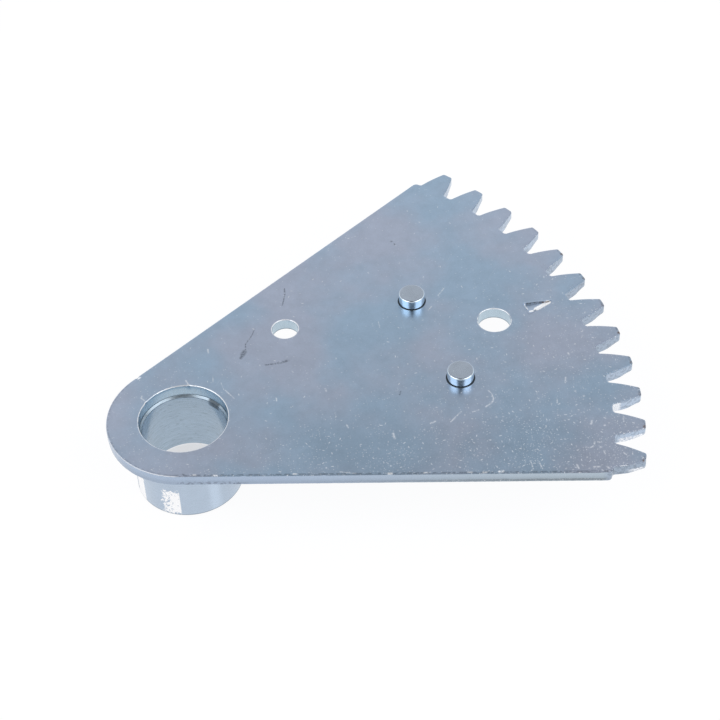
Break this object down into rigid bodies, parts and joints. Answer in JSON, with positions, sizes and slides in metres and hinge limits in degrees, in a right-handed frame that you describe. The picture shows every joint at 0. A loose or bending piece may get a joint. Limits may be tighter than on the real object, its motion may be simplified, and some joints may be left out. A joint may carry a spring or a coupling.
{
  "type": "sector gear",
  "caption": "Flat steel sector gear with involute teeth on its wide end, a welded pivot bush under its narrow end, link holes, raised pins and a stamped timing mark.",
  "frame": {"origin": "on the pivot axis, in the plane of the bush's lower end", "axes": "+Z along the pivot axis, with the pins up and the bush down; +X along the line of symmetry, from the pivot to the teeth"},
  "size_m": [0.1564, 0.1384, 0.0287],
  "materials": {
    "zinc_plate": "blue passivated zinc on blanked steel sheet, satin, with scratches and nicks",
    "zinc_bush": "blue passivated zinc on turned steel tube, smooth",
    "zinc_weld": "blue passivated zinc over a rippled weld bead",
    "zinc_pin": "bright zinc on ground steel pin"
  },
  "bodies": {
    "root": {"sector_plate": "zinc_plate", "pivot_bush": "zinc_bush", "hub_weld": "zinc_weld", "pin_left": "zinc_pin", "pin_right": "zinc_pin"}
  },
  "joints": []
}
